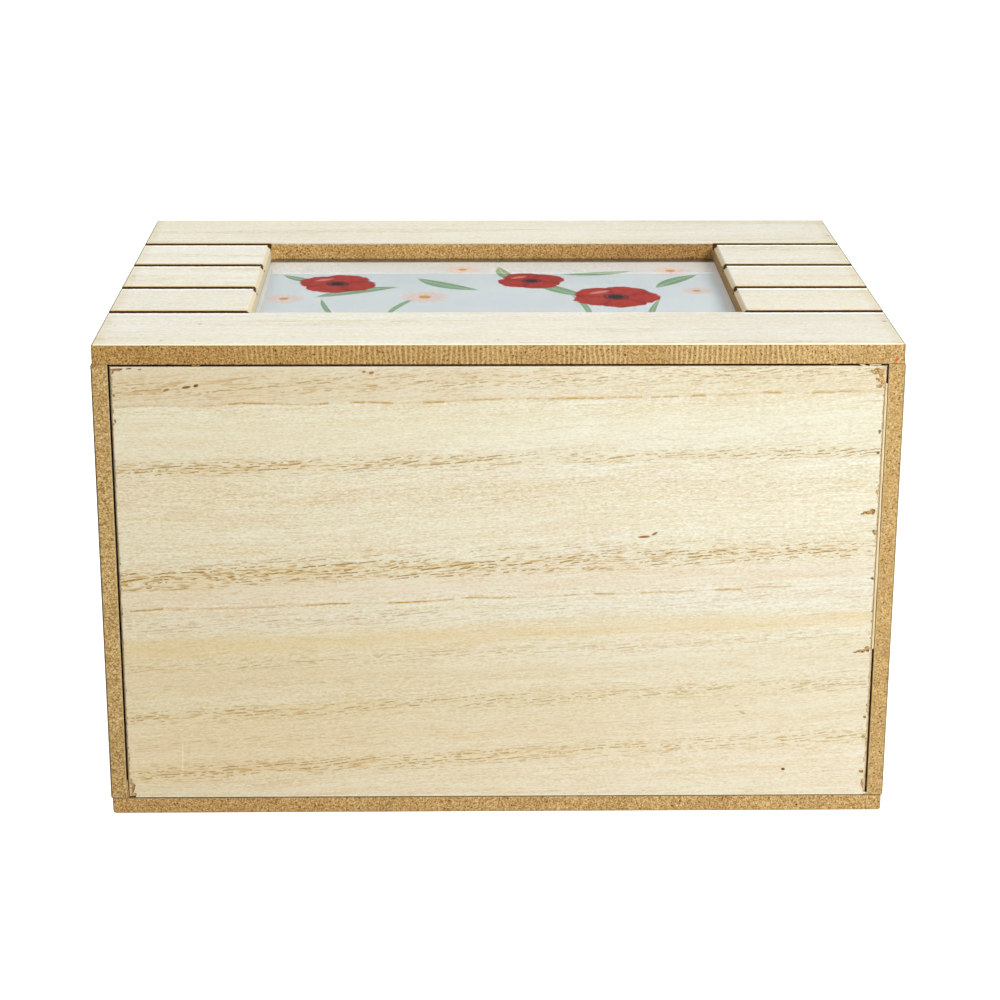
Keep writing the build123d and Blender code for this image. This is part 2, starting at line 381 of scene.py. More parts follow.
tooth = fade(absolute(minus(tooth, 0.5)), 0.30, 0.08)
patch = noise(join(times(x, 0.06), 4.0, 0.0), detail=2)
marked = times(fade(patch, 0.36, 0.56, 0.15, 1.0), given["Saw Marks"], clamp=True)
saw = times(tooth, marked)
color = blend(fade(felt, 0.51, 0.37, 0.0, 0.88), given["Base"], given["Dark"])
color = blend(fade(felt, 0.52, 0.65, 0.0, 0.88), color, given["Light"])
color = blend(fade(hue, 0.50, 0.66), color, (1.03, 0.97, 0.98, 1), "MULTIPLY")
color = blend(fade(hue, 0.50, 0.34), color, (0.98, 1.0, 0.90, 1), "MULTIPLY")
color = blend(fade(cloud, 0.40, 0.70, 0.0, 0.15), color, given["Dark"])
color = blend(times(minus(marked, saw), 0.20), color, given["Dark"])
color = blend(times(saw, 0.48), color, given["Light"])
color = blend(times(specks, 0.9), color, given["Speck"])
color = blend(times(flakes, 0.6), color, given["Light"])
feed(made["Color"], color)
feed(made["Roughness"], plus(0.78, times(felt, 0.15)))
feed(made["Height"], plus(minus(felt, specks), times(saw, -0.8)))

# Where a board shows its skin of veneer, from the place through its thickness
boardSkin, given, made = startGroup("boardSkin", {
    "Vector": (0, 0, 0), "Depth": 0.0, "Low Face": 0.0, "High Face": 1.0, "Low Skin": 0.3, "High Skin": 0.3},
    ("Mask",))
ragged = times(minus(noise(given["Vector"], detail=2, scale=1.4), 0.5), 0.5)
for face, skin, label in ((minus(given["Depth"], given["Low Face"]), "Low Skin", "low"),
                          (minus(given["High Face"], given["Depth"]), "High Skin", "high")):
    depth = times(given[skin], plus(1.0, ragged))
    here = fade(minus(depth, face), -0.01, 0.02)
    mask = here if label == "low" else highest(mask, here)
feed(made["Mask"], mask)

# Worn arrises: near two faces of a board's box at once
arrisWear, given, made = startGroup("arrisWear", {
    "Vector": (0, 0, 0), "Middle": (0, 0, 0), "Half": (1, 1, 1), "Width": 0.6}, ("Mask",))
fromMiddle = vectorCalc("ABSOLUTE", vectorCalc("SUBTRACT", given["Vector"], given["Middle"]))
x, y, z = split(vectorCalc("SUBTRACT", given["Half"], fromMiddle))
second = highest(calc("MINIMUM", x, y), calc("MINIMUM", highest(x, y), z))
rub = times(noise(given["Vector"], detail=2, scale=0.5), 0.9)
feed(made["Mask"], fade(plus(second, times(rub, given["Width"])), times(given["Width"], 1.35),
                        times(given["Width"], 0.6)))

# Small marks of handling: pale dust and faint dark rubs
handMarks, given, made = startGroup("handMarks", {"Vector": (0, 0, 0), "Amount": 0.5}, ("Dust", "Rub"))
grain, chance = spots(given["Vector"], 0.42)
dust = times(fade(grain, 0.13, 0.06), fade(chance, 0.55, 0.60))
smudge = fade(noise(given["Vector"], detail=3, scale=0.03), 0.52, 0.72)
feed(made["Dust"], times(dust, given["Amount"]))
feed(made["Rub"], times(smudge, given["Amount"]))

# One small mark, a soft-edged ellipse that leans by an angle
spotMark, given, made = startGroup("spotMark", {
    "Along": 0.0, "Across": 0.0, "Centre": (0, 0, 0), "Half Length": 1.0, "Half Width": 0.3, "Lean": 0.0},
    ("Mask",))
centreAlong, centreAcross = split(given["Centre"])[:2]
u = minus(given["Along"], centreAlong)
v = minus(given["Across"], centreAcross)
cosine, sine = calc("COSINE", given["Lean"]), calc("SINE", given["Lean"])
turnedU = plus(times(u, cosine), times(v, sine))
turnedV = minus(times(v, cosine), times(u, sine))
turnedU = calc("DIVIDE", turnedU, given["Half Length"])
turnedV = calc("DIVIDE", turnedV, given["Half Width"])
far = vectorCalc("LENGTH", join(turnedU, turnedV, 0.0))
feed(made["Mask"], fade(far, 1.15, 0.7))
print("shared effects built")


def paintMarks(along, across, color, markList):        # each mark: place, halves, lean, colour, strength
    for place, half, lean, tone, strength in markList:
        mask = useGroup(spotMark, {
            "Along": along, "Across": across, "Centre": place + (0,), "Half Length": half[0],
            "Half Width": half[1], "Lean": math.radians(lean)})["Mask"]
        color = blend(times(mask, strength), color, tone)
    return color


# Boards: front face at y -85, top at z 145 and its underside at 139, side boards from x 111 to 115.8
axisNumber = {"x": 0, "y": 1, "z": 2}

veneerTones = {        # paulownia veneer, raw and sanded
    "top": {"Pale": paint(239, 237, 223), "Light": paint(249, 248, 240), "Warm": paint(231, 221, 192),
            "Blush": paint(233, 227, 212), "Fleck": paint(196, 164, 104)},
    "front": {"Pale": paint(240, 238, 219), "Light": paint(250, 248, 234), "Warm": paint(230, 213, 171),
              "Blush": paint(235, 219, 194), "Fleck": paint(184, 136, 38)},
    "case": {"Pale": paint(230, 223, 196), "Light": paint(243, 237, 216), "Warm": paint(222, 202, 160),
             "Blush": paint(226, 208, 178), "Fleck": paint(190, 148, 84)},
}
edgeTones = {
    "Base": paint(203, 166, 108), "Dark": paint(138, 94, 42), "Light": paint(240, 214, 162),
    "Speck": paint(80, 44, 12),
}
seamDirtAndShade = paint(58, 37, 14)        # dirt and painted shade down in a joint


def placeMask(value, low, high, soft=0.05):        # 1 between two places
    return times(fade(value, low - soft, low + soft), fade(value, high + soft, high - soft))


def looseBands(along, across, seed):        # growth rings without set places
    wave = noise(join(times(along, 0.006), times(across, 0.11), float(seed)), detail=1)
    return fade(wave, 0.53, 0.66)


def boardMaterial(node, grain, tones="case", skins=(0.3, 0.3), seed=0, flecks=1.0, rise=0.03, finish=None):
    low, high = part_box(node)
    low, high = low / mm, high / mm
    size = high - low
    thick = min("xyz", key=lambda axis: size[axisNumber[axis]])
    side = next(axis for axis in "xyz" if axis not in (grain, thick))
    middle = (low + high) / 2
    material, shader, place = startMaterial(node + "Wood")
    parts = dict(zip("xyz", split(place)))
    turned = join(parts[grain], parts[side], parts[thick])
    skinMask = useGroup(boardSkin, {
        "Vector": place, "Depth": parts[thick], "Low Face": low[axisNumber[thick]],
        "High Face": high[axisNumber[thick]], "Low Skin": skins[0], "High Skin": skins[1]})["Mask"]
    veneer = useGroup(veneerGrain, {
        "Vector": turned, **veneerTones[tones], "Rise": rise, "Flecks": flecks, "Seed": float(seed),
        "Bands": looseBands(parts[grain], parts[side], seed)})
    raw = useGroup(fibreboard, {"Vector": turned, **edgeTones, "Seed": seed * 3.7 + 1.0})
    worn = useGroup(arrisWear, {
        "Vector": place, "Middle": tuple(middle), "Half": tuple(size / 2), "Width": 0.5})["Mask"]
    marks = useGroup(handMarks, {"Vector": place, "Amount": 0.5})
    veneerColor = blend(times(worn, 0.65), veneer["Color"], paint(250, 243, 222))
    veneerColor = blend(times(marks["Rub"], 0.12), veneerColor, paint(205, 190, 160))
    veneerColor = blend(times(marks["Dust"], 0.6), veneerColor, paint(252, 248, 236))
    rawColor = blend(times(worn, 0.35), raw["Color"], edgeTones["Light"])
    if finish:
        veneerColor, rawColor, skinMask = finish(parts, veneerColor, rawColor, skinMask)
    color = blend(skinMask, rawColor, veneerColor)
    roughness = plus(times(skinMask, minus(veneer["Roughness"], raw["Roughness"])), raw["Roughness"])
    dress(shader, color, roughness, 0.10)
    height = plus(times(veneer["Height"], times(skinMask, 0.3)), times(raw["Height"], minus(1.0, skinMask)))
    addBump(shader, height, 0.00012)
    return material


def shadeLeft(x, color, tint):        # painted shade: the wood darker and browner towards the left end
    return blend(fade(x, 90.0, -110.0), color, tint, "MULTIPLY")


def raggedLine(x, gap, width):        # an uneven dark line, from the distance to a joint
    uneven = noise(join(times(x, 1.1), 0.0, 0.0), detail=2, roughness=0.7)
    reach = times(plus(0.2, times(uneven, 1.6)), width)
    return fade(minus(absolute(gap), reach), 0.06, -0.04)


topFacts = {        # millimetres
    "grooves": (-46.5, -15.5, 15.5, 46.5),
    "grooveHalf": 1.3,
    # painted shade down in the grooves and along their near lips
    "grooveShadeTone": paint(74, 44, 14),
    # a tan fringe of the painted groove shade, beyond each groove
    "lipShade": paint(226, 178, 100),
    "lip": paint(255, 253, 246, 0.85),        # the near edge of each groove catches the light
    "farLip": paint(255, 244, 198, 0.82),
    "ledge": 139.8,
    "wall": paint(240, 228, 196),        # the window's left short wall: sanded clean, and painted lighter as lit from the right
    "shadedWall": paint(176, 146, 102),        # and its right one, in painted shade
    "bevel": paint(240, 228, 190),
    "marks": [        # place, half length and width, lean, colour, strength
        ((-86.8, -61.6), (0.7, 0.4), 0, paint(150, 118, 78), 0.8),
        ((-111.2, -63.8), (0.5, 0.3), 0, paint(140, 110, 72), 0.6),
        ((-96.0, -80.6), (0.5, 0.35), 0, paint(150, 118, 78), 0.7),
        ((-86.6, -81.2), (0.4, 0.3), 0, paint(140, 100, 60), 0.7),
        ((-0.3, -80.5), (0.5, 0.4), 20, paint(190, 90, 60), 0.7),
        ((40.0, -70.5), (9.0, 0.35), 2, paint(214, 184, 132), 0.6),
        ((-52.0, 66.0), (24.0, 0.5), 1, paint(222, 196, 140), 0.5),
        ((46.0, 68.5), (30.0, 0.4), 1, paint(222, 196, 140), 0.4),
    ],
}


def finishTop(parts, veneerColor, rawColor, skinMask):
    x, y, z = parts.values()
    reachX = absolute(x)
    left, right = fade(x, 1.0, -1.0), fade(x, -1.0, 1.0)
    high = fade(z, 144.9, 144.98)
    groove, corner, nearLips, farLips, lipShade, fringe = 0.0, 0.0, 0.0, 0.0, 0.0, 0.0
    half = topFacts["grooveHalf"]
    reach = half + 0.12
    lipShadeReach = plus(0.62, times(left, 0.25))
    lipShadeReach = times(lipShadeReach, plus(0.55, noise(join(times(x, 0.9), y, 0.0), detail=2)))
    for middle in topFacts["grooves"]:
        groove = highest(groove, placeMask(y, middle - reach, middle + reach))
        corner = highest(corner, placeMask(y, middle - reach - 1.9, middle + reach + 0.5, 0.2))
        nearLips = highest(nearLips, placeMask(y, middle - half - 2.1, middle - half + 0.2, 0.2))
        farLips = highest(farLips, placeMask(y, middle + half - 0.2, middle + half + 1.1, 0.3))
        before = minus(middle - half, y)
        lipShade = highest(lipShade, times(fade(minus(lipShadeReach, before), -0.1, 0.1), fade(before, -0.3, -0.1)))
        beyond = minus(y, middle + half)
        fringe = highest(fringe, times(fade(minus(lipShadeReach, beyond), -0.35, 0.1), fade(beyond, -0.3, -0.1)))
    bySlats = times(high, fade(reachX, 73.0, 73.6))
    for here, tint in (        # the front right, the rear, and the slats at the left
            (times(fade(x, 10.0, 80.0), fade(y, -44.0, -50.0)), (0.945, 0.94, 0.945, 1)),
            (times(fade(y, 44.0, 50.0), fade(x, 60.0, 10.0)), (1.035, 1.04, 1.035, 1)),
            (times(fade(x, -72.0, -76.0), placeMask(y, -14.0, 46.0)), (1.07, 1.09, 1.13, 1))):
        veneerColor = blend(here, veneerColor, tint, "MULTIPLY")
    # painted highlight along the near lip of each groove
    veneerColor = blend(times(nearLips, bySlats), veneerColor, topFacts["lip"])
    veneerColor = blend(times(farLips, bySlats), veneerColor, topFacts["farLip"])
    # painted shade: a tan fringe beyond each groove
    veneerColor = blend(times(times(fringe, bySlats), 0.7), veneerColor, topFacts["lipShade"])
    veneerColor = paintMarks(x, y, veneerColor, topFacts["marks"])
    # painted shade: the grooves' walls, their ends at the short walls, and the near lips go dark
    deep = times(fade(z, 144.96, 144.84), fade(z, 142.4, 142.7))
    grooveShaded = times(groove, fade(reachX, 73.4, 73.7))
    grooveShaded = highest(grooveShaded, times(corner, placeMask(reachX, 73.75, 75.6)))
    grooveShaded = times(grooveShaded, deep)
    grooveShaded = highest(grooveShaded, times(lipShade, bySlats))
    short = times(placeMask(reachX, 72.0, 75.5), placeMask(y, -47.2, 45.4, 0.5))
    # painted light and shade on the window's short walls: the left one lit, the right one shaded, each under a
    # pale bevel
    wall = blend(times(right, fade(z, 144.0, 143.7)),
                 blend(fade(z, 143.7, 144.0), topFacts["wall"], topFacts["bevel"]), topFacts["shadedWall"])
    rawColor = blend(times(short, fade(right, 0.0, 1.0, 0.85, 0.7)), rawColor, wall)
    backWall = times(fade(y, 45.5, 46.5), placeMask(x, -74.0, 74.0))
    backWall = times(backWall, fade(y, 49.0, 48.0))
    # painted light and shade on the window's back wall: lighter at the left, darker towards the right corner
    # where the right wall's shadow falls
    backWallLightShade = blend(fade(x, -30.0, 74.0), (1.22, 1.16, 1.01, 1), (0.89, 0.76, 0.61, 1))
    rawColor = blend(backWall, rawColor, backWallLightShade, "MULTIPLY")
    # painted shade: a dark line at the foot of the window's walls, just above the pane, fainter at the rear
    rear = fade(y, 44.0, 46.0)
    footTop = minus(topFacts["ledge"] + 0.10, times(rear, 0.08))
    foot = fade(minus(z, footTop), 0.10, -0.02)
    foot = times(foot, placeMask(x, -73.7, 73.7))
    foot = times(foot, placeMask(y, -48.0, 48.0))
    footShade = blend(rear, paint(120, 104, 84), paint(24, 16, 10))
    rawColor = blend(times(foot, fade(rear, 0.0, 1.0, 0.95, 0.15)), rawColor, footShade)
    rawColor = blend(times(grooveShaded, 0.95), rawColor, topFacts["grooveShadeTone"])
    skinMask = times(skinMask, minus(1.0, grooveShaded))
    along = times(fade(x, -84.0, -62.0), fade(x, 104.0, 90.0, 0.25, 1.0))
    sawn = useGroup(fibreboard, {
        "Vector": join(x, y, z), **edgeTones, "Saw Marks": along, "Seed": 3.0})["Color"]
    # painted shade towards the left end of the front edge, and painted light towards the right
    sawn = shadeLeft(x, blend(1.0, sawn, (0.97, 0.96, 0.90, 1), "MULTIPLY"), (0.85, 0.78, 0.64, 1))
    sawn = blend(fade(x, 40.0, 100.0), sawn, (1.05, 1.07, 1.10, 1), "MULTIPLY")
    sawn = blend(fade(z, 144.3, 144.6, 0.0, 0.14), sawn, seamDirtAndShade)
    # painted shade: a ragged dark line along the gap above the drawer front
    sawn = blend(raggedLine(x, minus(z, 138.9), 0.20), sawn, seamDirtAndShade)
    sawn = blend(fade(reachX, 114.9, 115.2, 0.0, 0.5), sawn, seamDirtAndShade)
    sawn = paintMarks(x, z, sawn, [((113.0, 140.2), (0.6, 0.42), 30, paint(222, 84, 40), 0.9)])
    rawColor = blend(fade(y, -84.6, -84.8), rawColor, sawn)
    # painted shade on the underside near the front, over the drawer front's gap
    under = times(fade(z, 139.12, 139.04), fade(y, -76.0, -79.0))
    rawColor = blend(times(under, 0.8), rawColor, seamDirtAndShade)
    # a paler line along the top front arris: the veneer's edge, with a painted highlight
    arris = times(fade(y, -84.3, -84.8), fade(z, 144.3, 144.6))
    veneerColor = blend(times(arris, 0.8), veneerColor, paint(255, 246, 208))
    turned = times(fade(reachX, 114.7, 114.95), fade(z, 144.6, 144.7))
    veneerColor = blend(times(turned, 0.8), veneerColor, paint(142, 134, 114))
    veneerColor = blend(fade(reachX, 111.0, 114.0), veneerColor, (0.95, 0.93, 0.86, 1), "MULTIPLY")
    return veneerColor, rawColor, skinMask


def finishSide(parts, veneerColor, rawColor, skinMask):
    x, y, z = parts.values()
    reachX = absolute(x)
    face = fade(y, -84.6, -84.8)
    # painted shade on the sides' inner faces in the gaps beside the drawer front
    mouth = times(fade(reachX, 111.2, 111.05), fade(y, -76.0, -79.0))
    mouth = times(mouth, minus(1.0, face))
    seams = highest(raggedLine(x, minus(z, 139.05), 0.16), raggedLine(x, minus(z, 4.95), 0.16))
    right = fade(x, -1.0, 1.0)
    rim = times(fade(reachX, 115.25, 115.5), fade(right, 0.0, 1.0, 0.75, 0.5))
    rim = times(rim, fade(y, -84.3, -84.6))
    inner = times(fade(reachX, 111.22, 111.14), face)
    fuzz = noise(join(0.0, y, times(z, 0.6)), detail=3)
    gapShadeTone = blend(right, seamDirtAndShade, blend(fuzz, paint(72, 46, 20), paint(170, 128, 76)))
    fluffy = times(right, fade(z, 30.0, 70.0, 0.2, 1.0))
    fluffy = times(fluffy, fade(plus(y, fuzz), -82.4, -83.2))
    gapShadeTone = blend(fluffy, gapShadeTone, paint(236, 200, 144))        # fibres stand in the right gap
    # the right side's edge is calmer; painted light on the right side's edge and painted shade on the left's
    calm = blend(times(right, 0.25), rawColor, edgeTones["Base"])
    calm = blend(1.0, calm, (1.03, 1.05, 1.03, 1), "MULTIPLY")
    rawColor = blend(right, blend(1.0, rawColor, (0.95, 0.98, 0.95, 1), "MULTIPLY"), calm)
    veneerColor = blend(inner, veneerColor, rawColor)
    rawColor = blend(rim, rawColor, seamDirtAndShade)
    rawColor = blend(times(seams, 0.8), rawColor, seamDirtAndShade)
    rawColor = blend(times(mouth, 0.85), rawColor, gapShadeTone)
    veneerColor = blend(rim, veneerColor, seamDirtAndShade)
    veneerColor = blend(times(mouth, 0.85), veneerColor, gapShadeTone)
    return veneerColor, rawColor, skinMask


def finishBottom(parts, veneerColor, rawColor, skinMask):
    x, z = parts["x"], parts["z"]
    rawColor = shadeLeft(x, blend(1.0, rawColor, (1.07, 1.08, 1.05, 1), "MULTIPLY"), (0.90, 0.85, 0.80, 1))
    # painted shade in the gap under the drawer front, weaker under the sides
    under = fade(absolute(x), 111.2, 110.8, 0.7, 0.62)
    line = times(raggedLine(x, minus(z, 5.0), 0.24), under)
    rawColor = blend(line, rawColor, seamDirtAndShade)
    rawColor = blend(fade(absolute(x), 114.9, 115.2, 0.0, 0.45), rawColor, seamDirtAndShade)
    # painted shade along the foot, where the board meets the floor
    rawColor = blend(fade(z, 0.45, 0.1, 0.0, 0.40), rawColor, seamDirtAndShade)
    return veneerColor, rawColor, skinMask


boardList = {
    "top_board": {"grain": "x", "tones": "top", "seed": 2, "flecks": 0.6, "rise": 0.02, "finish": finishTop,
                  "skins": (-0.1, 0.34)},
    "bottom_board": {"grain": "x", "seed": 11, "skins": (0.1, -0.1), "finish": finishBottom},
    "left_side": {"grain": "y", "seed": 5, "skins": (0.14, 0.14), "finish": finishSide},
    "right_side": {"grain": "y", "seed": 8, "skins": (0.14, 0.14), "finish": finishSide},
    "back_board": {"grain": "x", "seed": 14},
    "drawer_left_wall": {"grain": "y", "seed": 17, "flecks": 0.6},
    "drawer_right_wall": {"grain": "y", "seed": 20, "flecks": 0.6},
    "drawer_rear_wall": {"grain": "x", "seed": 23, "flecks": 0.6},
}
for name, facts in boardList.items():
    giveMaterial(nodes[name], boardMaterial(name, **facts))
print("boards painted")

# Drawer front: a fibreboard core under its own torn sheet of veneer
drawerSkin = {        # millimetres
    "thick": 0.45,
    "leftInset": 0.62,        # the veneer stops this far from the upright edges
    "rightInset": 0.85,
    "endInset": 0.12,
    "ragged": 0.10,
    "cuts": 150,        # along each torn edge
    "edgeSeeds": (3, 4),
    "chips": 40,        # small chips along each upright edge
    "seed": 11,
}
frontLow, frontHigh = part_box("drawer_front")
core = copyOf("drawer_front", "drawer_front_core")
pickVerts(core, lambda co: co.y < -0.0844)
bpy.ops.transform.translate(value=(0, drawerSkin["thick"] * mm, 0))
bpy.ops.object.mode_set(mode="OBJECT")

sheetLow = (frontLow.x + drawerSkin["leftInset"] * mm, frontLow.z + drawerSkin["endInset"] * mm)
sheetHigh = (frontHigh.x - drawerSkin["rightInset"] * mm, frontHigh.z - drawerSkin["endInset"] * mm)
sheetMiddle = Vector(((sheetLow[0] + sheetHigh[0]) / 2, frontLow.y, (sheetLow[1] + sheetHigh[1]) / 2))
clearSelection()
bpy.ops.mesh.primitive_plane_add(size=1, location=sheetMiddle, rotation=(math.radians(90), 0, 0))
sheet = bpy.context.object
sheet.name = "drawer_front_veneer"
sheet.scale = (sheetHigh[0] - sheetLow[0], sheetHigh[1] - sheetLow[1], 1)
bpy.ops.object.transform_apply(location=True, rotation=True, scale=True)


def raggedEdge(piece, wanted, seed):        # a torn edge, kept in its plane
    pickVerts(piece, wanted)
    bpy.ops.mesh.select_mode(type="EDGE")
    bpy.ops.mesh.subdivide(number_cuts=drawerSkin["cuts"])
    pickVerts(piece, wanted)
    bpy.ops.transform.vertex_random(offset=drawerSkin["ragged"] * mm, uniform=1.0, normal=0.0, seed=seed)
    bpy.ops.transform.resize(value=(1, 0, 1), center_override=sheetMiddle)
    bpy.ops.object.mode_set(mode="OBJECT")


raggedEdge(sheet, lambda co: co.x < sheetLow[0] + 0.01 * mm, drawerSkin["edgeSeeds"][0])
raggedEdge(sheet, lambda co: co.x > sheetHigh[0] - 0.01 * mm, drawerSkin["edgeSeeds"][1])
editAll(sheet)
bpy.ops.mesh.extrude_region_move(TRANSFORM_OT_translate={"value": (0, drawerSkin["thick"] * mm, 0)})
closeMesh()

# One pointed chip, copied for each place where the veneer is torn
chipFacts = {        # millimetres
    "corners": 9, "radius": 0.5, "ragged": 0.12, "depth": 2.0, "before": 1.0, "seed": 7}
clearSelection()
bpy.ops.mesh.primitive_circle_add(vertices=chipFacts["corners"], radius=chipFacts["radius"] * mm,
                                  fill_type="NGON", location=(0, 0, 0), rotation=(math.radians(90), 0, 0))
chip = bpy.context.object
chip.name = "chip_cutter"
bpy.ops.object.transform_apply(location=True, rotation=True, scale=True)
editAll(chip)
bpy.ops.transform.vertex_random(offset=chipFacts["ragged"] * mm, uniform=1.0, normal=0.0,
                                seed=chipFacts["seed"])
bpy.ops.transform.resize(value=(1, 0, 1), center_override=(0, 0, 0))
bpy.ops.mesh.extrude_region_move(TRANSFORM_OT_translate={"value": (0, chipFacts["depth"] * mm, 0)})
closeMesh()

tears = [        # x, z, length, height in millimetres, and lean in degrees
    (109.8, 134.6, 3.3, 6.4, 4), (106.6, 136.6, 2.8, 1.1, -22), (108.0, 134.3, 2.2, 0.9, -24),
    (108.3, 132.4, 2.3, 1.0, 12), (107.9, 136.9, 3.2, 1.6, -8), (108.9, 135.6, 1.9, 1.7, 10),
    (106.9, 94.4, 3.5, 1.1, 3), (105.4, 94.0, 1.6, 0.45, 4), (108.2, 94.7, 2.1, 1.7, -4),
    (109.1, 88.3, 1.1, 1.8, 14), (109.2, 74.1, 1.2, 1.0, 30), (109.3, 100.6, 1.1, 1.4, 10),
    (107.0, 51.3, 3.4, 1.1, 8), (105.3, 50.9, 1.5, 0.6, 4), (108.8, 51.9, 1.7, 1.9, 12),
    (109.0, 112.5, 1.2, 0.9, 20), (109.1, 118.9, 1.1, 1.1, -14), (109.0, 23.9, 1.4, 1.2, 32),
    (108.9, 12.5, 1.8, 1.0, 8), (109.4, 8.9, 1.2, 2.6, -6), (109.1, 30.2, 1.1, 0.9, 24),
    (-108.6, 137.6, 4.4, 0.8, 2), (-109.7, 137.2, 1.4, 1.4, 0), (-105.0, 137.9, 1.9, 0.5, 5),
    (-101.9, 137.7, 1.2, 0.4, 0), (-109.6, 130.0, 0.9, 0.9, 40), (-109.5, 122.4, 0.8, 1.1, 10),
    (-110.0, 7.4, 2.8, 5.2, -14), (-109.5, 5.6, 3.2, 1.8, 8), (-109.9, 10.4, 1.1, 2.1, -8),
]
chance = random.Random(drawerSkin["seed"])
for edgeX in (sheetLow[0] / mm, sheetHigh[0] / mm):
    for step in range(drawerSkin["chips"]):
        tears.append((edgeX, chance.uniform(6, 137), chance.uniform(0.35, 0.95), chance.uniform(0.3, 1.1),
                      chance.uniform(-35, 35)))
cutters = []
for x, z, length, height, lean in tears:
    cutter = bpy.data.objects.new("chip_cutter", chip.data.copy())
    bpy.context.scene.collection.objects.link(cutter)
    cutter.scale = (length, 1, height)
    cutter.rotation_euler = (0, math.radians(-lean), 0)
    cutter.location = (x * mm, frontLow.y - chipFacts["before"] * mm, z * mm)
    cutters.append(cutter)
cutter = joinAll(cutters)
bpy.ops.object.transform_apply(location=True, rotation=True, scale=True)
workOn(sheet)
tearing = sheet.modifiers.new("tearing", "BOOLEAN")
tearing.operation = "DIFFERENCE"
tearing.solver = "EXACT"
tearing.use_self = True
tearing.object = cutter
bpy.ops.object.modifier_apply(modifier="tearing")
bpy.data.objects.remove(cutter)
bpy.data.objects.remove(chip)
settle(sheet)
settle(core)

# Splinters and sanding dust that bridge the gaps round the drawer front
splinterList = [        # middle, half sizes in millimetres, lean in degrees
    ((109.4, -84.83, 5.42), (1.45, 0.13, 0.20), 2), ((110.1, -84.80, 5.62), (0.8, 0.12, 0.12), -14),
    ((103.4, -84.80, 138.66), (0.8, 0.15, 0.18), -12), ((107.0, -84.70, 138.74), (1.6, 0.20, 0.17), 1),
    ((95.2, -84.70, 138.70), (0.9, 0.16, 0.12), 3), ((-110.80, -84.60, 8.0), (0.16, 0.35, 2.6), 1),
    ((-110.78, -84.50, 5.9), (0.17, 0.40, 0.8), -2), ((-86.0, -84.70, 138.68), (1.1, 0.16, 0.10), 2),
    ((110.50, -84.66, 61.0), (0.28, 0.22, 9.0), 0), ((110.52, -84.66, 79.0), (0.29, 0.22, 9.2), 0),
    ((110.51, -84.66, 97.0), (0.27, 0.22, 9.0), 0), ((110.52, -84.66, 114.0), (0.29, 0.22, 8.4), 0),
    ((110.51, -84.66, 127.6), (0.26, 0.22, 5.6), 0),
]
slivers = []
for middle, halves, lean in splinterList:
    clearSelection()
    bpy.ops.mesh.primitive_cube_add(size=2, location=Vector(middle) * mm, rotation=(0, math.radians(-lean), 0))
    sliver = bpy.context.object
    sliver.scale = Vector(halves) * mm
    bpy.ops.object.transform_apply(location=False, rotation=False, scale=True)
    bpy.ops.object.mode_set(mode="EDIT")
    bpy.ops.mesh.subdivide(number_cuts=4)
    bpy.ops.transform.vertex_random(offset=0.06 * mm, uniform=1.0, normal=0.0, seed=len(slivers))
    bpy.ops.object.mode_set(mode="OBJECT")
    slivers.append(sliver)
splinters = joinAll(slivers)
splinters.name = "drawer_front_splinters"
settle(splinters)
for piece in (core, sheet, splinters):
    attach(piece, "drawer")
for piece in (core, sheet):
    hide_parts("drawer_front")
print("drawer front built:", len(sheet.data.polygons), "faces in its veneer")

frontRings = [        # height at the middle, half width, strength, rise
    (110.6, 2.2, 1.1, 0.026), (79.2, 2.6, 1.2, 0.044), (83.2, 1.0, 0.5, 0.05), (76.4, 1.0, 1.1, 0.047),
    (64.0, 2.4, 0.55, 0.045), (51.4, 2.0, 0.5, 0.045), (36.0, 2.4, 0.9, 0.050), (18.4, 2.6, 1.0, 0.058),
    (134.5, 3.4, 0.8, 0.03), (102.5, 0.8, 0.2, 0.03), (27.0, 3.0, 0.35, 0.048), (44.5, 1.6, 0.3, 0.045),
]
frontZones = [        # height at the middle, half width, strength, rise, colour
    (72.8, 3.4, 0.35, 0.040, paint(230, 207, 178)), (63.6, 3.4, 0.30, 0.042, paint(238, 236, 222)),
    (57.0, 2.8, 0.45, 0.044, paint(230, 204, 146)), (119.0, 8.0, 0.40, 0.022, paint(240, 238, 214)),
    (91.0, 5.0, 0.20, 0.035, paint(238, 232, 206)), (46.0, 3.6, 0.30, 0.045, paint(230, 212, 176)),
    (28.0, 5.0, 0.25, 0.048, paint(232, 222, 192)),
]
upperLine = (128.7, 0.34, 0.020)        # a golden line: height at the middle, half width, rise
upperDashes = [        # from, to, strength
    (-109.4, -99.4, 0.45), (-86.6, -80.9, 0.5), (-77.2, -67.5, 0.9), (-67.5, -59.0, 0.55), (-56.7, -51.5, 0.5),
    (-51.5, -48.7, 1.0), (-43.3, -30.4, 0.9), (-22.5, -15.9, 1.0), (-8.2, 0.3, 0.7), (7.5, 10.6, 0.6),
    (13.2, 28.8, 0.9), (28.8, 40.2, 0.6), (43.1, 50.8, 0.65), (54.5, 58.8, 0.85), (61.9, 70.2, 0.55),
    (75.0, 80.4, 0.85), (89.3, 102.4, 0.75),
]
lowerLine = (68.3, 0.30, 0.036)
lowerDashes = [
    (-108.3, -98.4, 0.9), (-96.0, -90.2, 0.6), (-87.3, -65.3, 0.5), (-57.1, -44.0, 0.9), (-32.3, -21.2, 1.0),
    (-21.2, -13.6, 0.6), (-9.8, 5.1, 0.85), (18.3, 22.7, 0.7), (27.4, 33.2, 0.85), (41.4, 56.6, 0.6),
    (63.3, 70.9, 0.9), (73.6, 85.8, 0.5),
]
